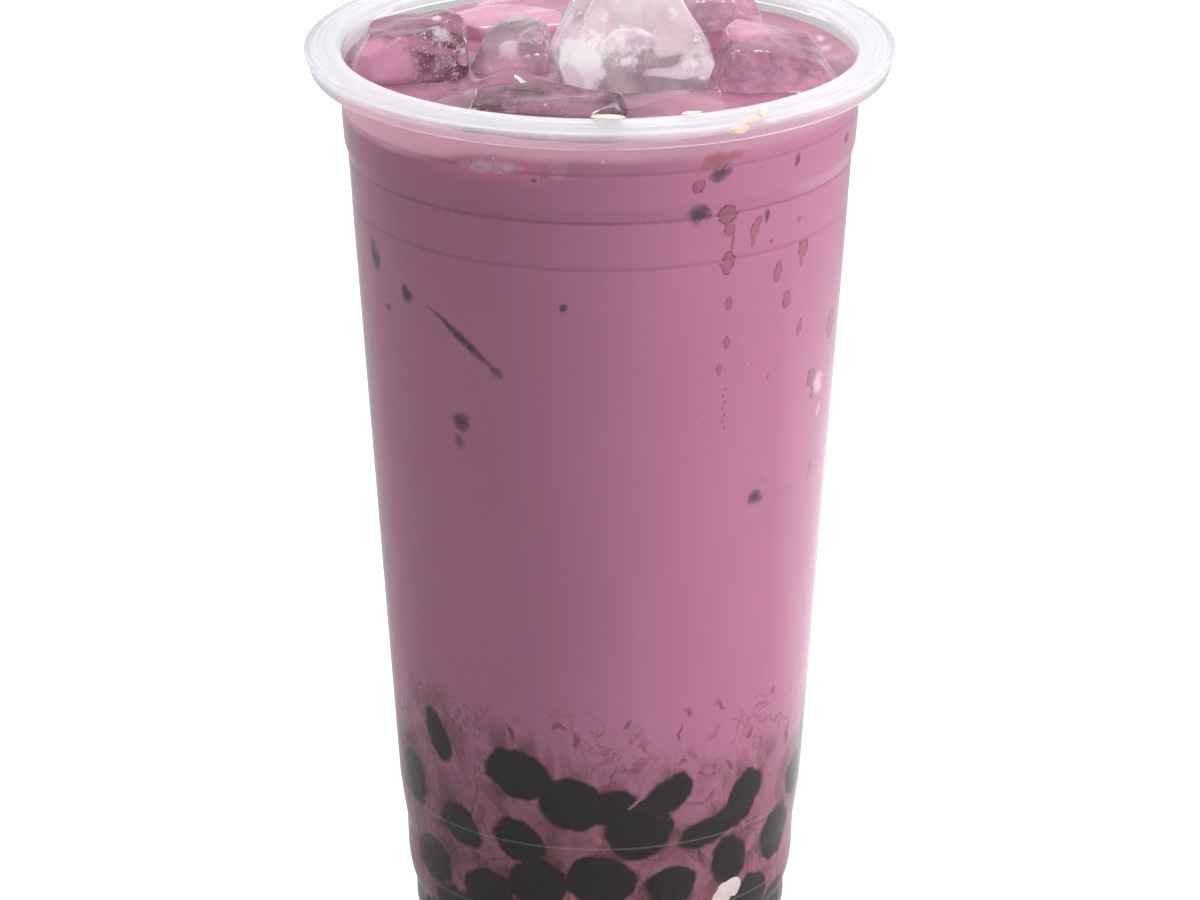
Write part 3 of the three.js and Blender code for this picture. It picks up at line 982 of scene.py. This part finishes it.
def ice_contact_shades():
    """Painted shade where sunken ice touches the wall: angle and height points, widths and strength."""
    marks = [
        ([(-47.3, 119.8), (-40.8, 118.1), (-32.3, 114.2), (-27, 111.4), (-23.4, 109.6)],
         [0.4, 0.7, 1.0, 1.1, 1.3], 1.0),
        ([(-27, 111.4), (-22.8, 109.2)], [0.8, 1.5], 0.8), ([(-66.5, 127.5), (-63, 120.8)], [1.2, 2.6], 1.0),
        ([(-52.5, 121.8), (-50.5, 118)], [1.2, 2.2], 1.0), ([(-62, 116.3), (-58, 116)], [0.8, 0.8], 0.8),
        ([(-36.5, 102.5), (-34.5, 98.5)], [2.2, 2.0], 1.0), ([(-36.6, 99), (-36, 95)], [1.8, 1.0], 0.6),
        ([(41.8, 85), (42.4, 88.4)], [2.4, 1.4], 1.0), ([(42.6, 87), (45, 91)], [2.4, 2.4], 0.3),
        ([(44, 86.2), (54.2, 85.8), (63.5, 85)], [1.6, 2.2, 2.0], 0.3),
        ([(65.2, 84.8), (66.4, 90)], [1.4, 1.0], 0.5),
        ([(19, 137.8), (26.5, 136.8)], [2.6, 1.6], 1.0), ([(23.5, 143), (31, 144.6)], [1.6, 2.0], 1.0),
        ([(48.2, 141.6), (49.3, 144.4)], [0.6, 0.9], 1.0), ([(40.6, 133.3), (40.9, 136.2)], [0.6, 0.9], 1.0),
        ([(69, 142), (74, 142.6)], [1.0, 1.3], 0.8), ([(-9, 121.5), (-7.6, 123.2)], [0.8, 1.0], 1.0),
        ([(-14.6, 143), (-14.2, 144)], [0.8, 0.5], 0.8),
    ]
    shapes = []
    for i, (path, widths, strength) in enumerate(marks):
        wide = [MARK_SPREAD * width for width in widths]
        shapes.append(stroke(path, wide, PATCH_THICKNESS, 3.0 * i, strength, 0.35))
    strokes_piece("ice_contact_shades", shapes, faded("ice_contact_shade", ICE_SHADE))


def pale_smears():
    """Thinned milk and small bubbles on the wall, as pale patches."""
    smears = [
        ([(-36.5, 144.4), (-29.4, 144.8), (-22, 145.3), (-13, 145.2)], [2.6, 4.4, 4.8, 5.0], 0.55),
        ([(-11, 147.2), (-9, 145), (-8.4, 142.8)], [6.0, 7.0, 6.0], 0.35),
        ([(66.5, 104.5), (67.2, 99)], [6.0, 9.0], 0.7), ([(69.9, 98), (66.5, 95)], [4.0, 2.0], 0.5),
        ([(-23.6, 146.3), (-23.6, 146.7)], [0.8, 0.8], 1.2), ([(0.5, 146.5), (0.5, 147.3)], [0.9, 0.9], 0.8),
    ]
    draw = np.random.default_rng(9)
    for _ in range(WALL_SPECKS):
        angle, height = draw.uniform(-62, 62), draw.uniform(100, 147)
        smears.append(([(angle, height - 0.15), (angle, height + 0.15)], [0.6, 0.6], draw.uniform(0.2, 0.7)))
    shapes = [stroke(path, widths, PATCH_THICKNESS, 2.0 * i, strength)
              for i, (path, widths, strength) in enumerate(smears)]
    strokes_piece("pale_smears", shapes, faded("pale_smear", PALE_SMEAR))


def syrup_wisps():
    """Threads of syrup that hang in the drink over the pearls, and thin brown places between them."""
    threads = [
        ([(-26.8, 49.9), (-24.8, 47.6), (-23.2, 44.5)], [0.7, 1.2, 0.8]),
        ([(-7.2, 49.2), (-6.4, 46.7), (-6.7, 44.2)], [0.8, 1.4, 0.8]),
        ([(-14.6, 48.5), (-11, 49.6), (-7.7, 48.6)], [0.9, 1.4, 0.8]),
        ([(5.8, 48.7), (8, 50.3), (9, 51)], [0.8, 1.4, 0.8]),
        ([(22.7, 52), (24.9, 51), (24.4, 49.6)], [1.2, 1.6, 0.6]),
        ([(31.7, 51), (33.6, 51.3), (36.4, 49.8)], [0.8, 1.2, 0.7]),
        ([(42.6, 44.3), (45.2, 43.7), (46.8, 45.6)], [1.2, 1.8, 0.8]),
        ([(35.9, 41), (38.9, 39.5), (40.9, 37.8)], [1.8, 1.4, 0.8]),
        ([(21, 41.8), (23, 42.2), (25.6, 41.9)], [0.8, 1.4, 0.8]),
        ([(21.7, 45.2), (22.3, 47.9), (22.6, 49.8)], [0.5, 0.8, 0.5]),
        ([(53.7, 49.2), (54.6, 51.2)], [1.2, 0.8]),
        ([(64.2, 37), (64.5, 40.6), (64.4, 43.5)], [2.0, 2.4, 1.0]),
        ([(-59.6, 50.9), (-57, 50.4)], [1.8, 1.4]), ([(38.6, 48.6), (40.4, 47)], [0.6, 0.8]),
    ]
    shapes = [stroke(path, [THREAD_SPREAD * width for width in widths], 0.1, 1.9 * i, 0.7, 0.7, 0.5)
              for i, (path, widths) in enumerate(threads)]
    strokes_piece("syrup_wisps", shapes, faded("syrup_wisp", SYRUP_BROWN))
    glows = [([(-2.6, 28.6), (0, 29.6)], [3.0, 2.6], 0.9), ([(-8.6, 16.5), (-8.4, 19)], [1.4, 1.0], 0.8),
             ([(-20, 35), (-17.6, 35.2)], [1.2, 1.0], 0.8), ([(7.6, 34.4), (12, 36.6)], [0.8, 0.6], 0.7)]
    shapes = [stroke(path, widths, GLOW_THICKNESS, 1.1 * i, strength, 0.5)
              for i, (path, widths, strength) in enumerate(glows)]
    strokes_piece("syrup_glow", shapes, faded("syrup_glow", SYRUP_GLOW))


def syrup_drops():
    """Drops and runs of syrup on the front right of the wall: angle, height, width, length and lean."""
    drops = [
        (29.5, 136.5, 4.4, 3.4, 0.3), (30.3, 133.9, 2.6, 2.6, 0), (31.3, 131.5, 0.7, 3.2, 0.1),
        (30.2, 128.2, 3.0, 4.2, 0.1), (37.6, 133.4, 2.0, 3.6, 0.5), (37, 131.2, 1.0, 2.4, 0.2),
        (42.5, 130.2, 0.9, 0.8, 0), (51.6, 132.4, 1.1, 1.3, 0), (54.1, 127.2, 3.2, 3.2, 0.2),
        (53.5, 125.2, 1.2, 2.2, 0), (45.2, 124.8, 2.2, 3.6, 0.3), (48.7, 119.4, 2.5, 3.1, 0),
        (31, 121.3, 1.7, 2.4, 0), (30.8, 114.8, 1.5, 2.3, 0), (29.1, 110.3, 1.3, 2.1, 0),
        (54.6, 113.6, 1.6, 3.0, 0.2), (44, 107, 0.5, 1.5, 0), (62.3, 103.5, 3.6, 3.0, 0.4),
        (63.5, 101, 2.2, 2.8, 0), (73, 110.5, 5.0, 5.0, 0.3), (22, 142, 2.6, 2.2, 0.6),
    ]
    drops += [(30.9 + 0.3 * (-1) ** i, 106.8 - 1.1 * i, 0.5, 0.7, 0) for i in range(7)]
    shapes = [drop(angle, height, width, length, 1.3 * i, lean)
              for i, (angle, height, width, length, lean) in enumerate(drops)]
    strokes_piece("syrup_drops", shapes, syrup())
    path = [(20.5, 143.2), (24, 145.6), (29, 146), (35, 147)]
    smear = stroke(path, [4.5, 6.5, 5.0, 2.0], PATCH_THICKNESS, 77.0, 0.9, 0.6)
    strokes_piece("syrup_smear", [smear], faded("syrup_smear", SYRUP_SMEAR))


def pale_lump():
    """A lump of undissolved powder low on the front right, against the wall."""
    shape = stroke([(35, 13.4), (40.5, 15.6), (46.5, 17)], [3.4, 4.6, 4.0], 0.3, 5.0)
    strokes_piece("pale_lump", [shape], cream())


def rim_residue():
    """Dried drips on the front of the rim, as low uneven blobs."""
    ball, triangles = unit_ball()
    spots = [(1.8, 43.9, 155.0, (2.6, 1.0, 0.25)), (18.5, 44.1, 155.0, (1.4, 0.6, 0.2)),
             (27.3, 46.6, 152.3, (1.9, 0.35, 0.8)), (30.3, 47.0, 153.6, (1.9, 0.35, 0.7)),
             (32.0, 47.2, 154.4, (0.9, 0.3, 0.6))]
    shapes = []
    for i, (angle, radius, height, size) in enumerate(spots):
        turn = math.radians(angle)
        across, outward = (math.cos(turn), math.sin(turn), 0), (math.sin(turn), -math.cos(turn), 0)
        axes = np.array([across, outward, (0, 0, 1)])
        uneven = 1 + 0.35 * lumps(ball, 0.8, 2.3 * i)
        centre = radius * axes[1] + np.array([0, 0, height])
        shapes.append((centre + (ball * uneven[:, None] * np.array(size)) @ axes, triangles))
    mesh_piece("rim_residue", *joined(shapes), crust())


# Stage

CAMERA_DISTANCE = 0.896
CAMERA_HEIGHT = 0.41355
CAMERA_PITCH = 0.352
LENS = 174.0
FLOOR_SIZE = 8.0
FLOOR_GREY = 0.35
FLOOR_PALER = 0.4
FLOOR_LIFT = 0.85


def camera():
    """The photograph's view: a long lens, looking a little down at the cup's front."""
    lens = bpy.data.cameras.new("camera")
    lens.lens = LENS
    lens.sensor_width = 36.0
    view = bpy.data.objects.new("camera", lens)
    view.location = (0, -CAMERA_DISTANCE, CAMERA_HEIGHT)
    view.rotation_euler = (math.pi / 2 - CAMERA_PITCH, 0, 0)
    bpy.context.scene.collection.objects.link(view)
    bpy.context.scene.camera = view


def floor():
    """A plain grey floor, paler behind on the right, and lifted to white where the camera sees it."""
    half = FLOOR_SIZE / 2
    mesh = bpy.data.meshes.new("floor")
    corners = [(-half, -half, 0), (half, -half, 0), (half, half, 0), (-half, half, 0)]
    mesh.from_pydata(corners, [], [(0, 1, 2, 3)])
    material, graph = new_material("white_floor")
    lift = graph.times(graph.add("LightPath").outputs["Is Camera Ray"], FLOOR_LIFT)
    away = graph.add("VectorMath", {0: graph.place()}, operation="LENGTH").outputs["Value"]
    near = graph.remap(away, 0.4, 0.2)
    right = graph.remap(graph.axis("X"), 0.0, 0.08)
    behind = graph.remap(graph.axis("Y"), 0.0, 0.07)
    grey = graph.math("ADD", FLOOR_GREY, graph.times(right, behind, near, FLOOR_PALER))
    graph.surface(graph.add("BsdfPrincipled", {
        "Base Color": graph.add("CombineColor", {0: grey, 1: grey, 2: grey}).outputs[0],
        "Roughness": 0.9, "Specular IOR Level": 0.0,
        "Emission Color": (1, 1, 1, 1), "Emission Strength": lift}).outputs[0])
    mesh.materials.append(material)
    piece = bpy.data.objects.new("floor", mesh)
    piece.location.z = -0.2 * MM
    bpy.context.scene.collection.objects.link(piece)


def area_light(name, place, aim, size, power, colour=(1, 1, 1)):
    """A soft box that looks at a point."""
    lamp = bpy.data.lights.new(name, "AREA")
    lamp.shape = "RECTANGLE"
    lamp.size, lamp.size_y = size
    lamp.energy = power
    lamp.color = colour
    box = bpy.data.objects.new(name, lamp)
    place, aim = Vector(place), Vector(aim)
    turn = (aim - place).to_track_quat("-Z", "Y")
    box.matrix_world = Matrix.Translation(place) @ turn.to_matrix().to_4x4()
    bpy.context.scene.collection.objects.link(box)


def studio():
    """White surroundings, brighter above and right, a large soft box on the right and two small lamps."""
    world = bpy.data.worlds.new("studio")
    world.use_nodes = True
    graph = Graph(world.node_tree)
    direction = graph.add("TexCoord").outputs["Generated"]
    parts = graph.add("SeparateXYZ", {0: direction}).outputs
    side = graph.remap(parts["X"], -0.8, 0.9, 0.9, 1.0)
    above = graph.remap(parts["Z"], 0.2, 1.0, 0.0, 0.55)
    background = graph.add("Background", {"Color": (1, 1, 1, 1), "Strength": graph.math("ADD", side, above)})
    output = graph.add("OutputWorld")
    graph.tree.links.new(background.outputs[0], output.inputs["Surface"])
    bpy.context.scene.world = world
    area_light("key", (1.0, -0.25, 0.3), (0, 0, 0.1), (0.9, 0.9), 9.0)
    area_light("top", (0.1, 0.35, 0.85), (0, 0, 0.15), (0.12, 0.12), 1.5)
    area_light("back", (-0.6, 0.5, 0.5), (0, 0, 0.15), (0.12, 0.12), 1.0)
    bpy.context.scene.view_settings.view_transform = "Standard"


def build():
    cup()
    ice_material = ice()
    ice_pieces = [ice_block(node, ice_material, 11 * i) for i, node in enumerate(ICE_NODES)]
    pearls = pearl_list()
    pearl_bed(pearls, tapioca())
    drink(pearls, ice_pieces)
    air_bubbles(ice_pieces, ice_material)
    ice_contact_shades()
    pale_smears()
    syrup_wisps()
    syrup_drops()
    pale_lump()
    rim_residue()
    camera()
    floor()
    studio()


build()
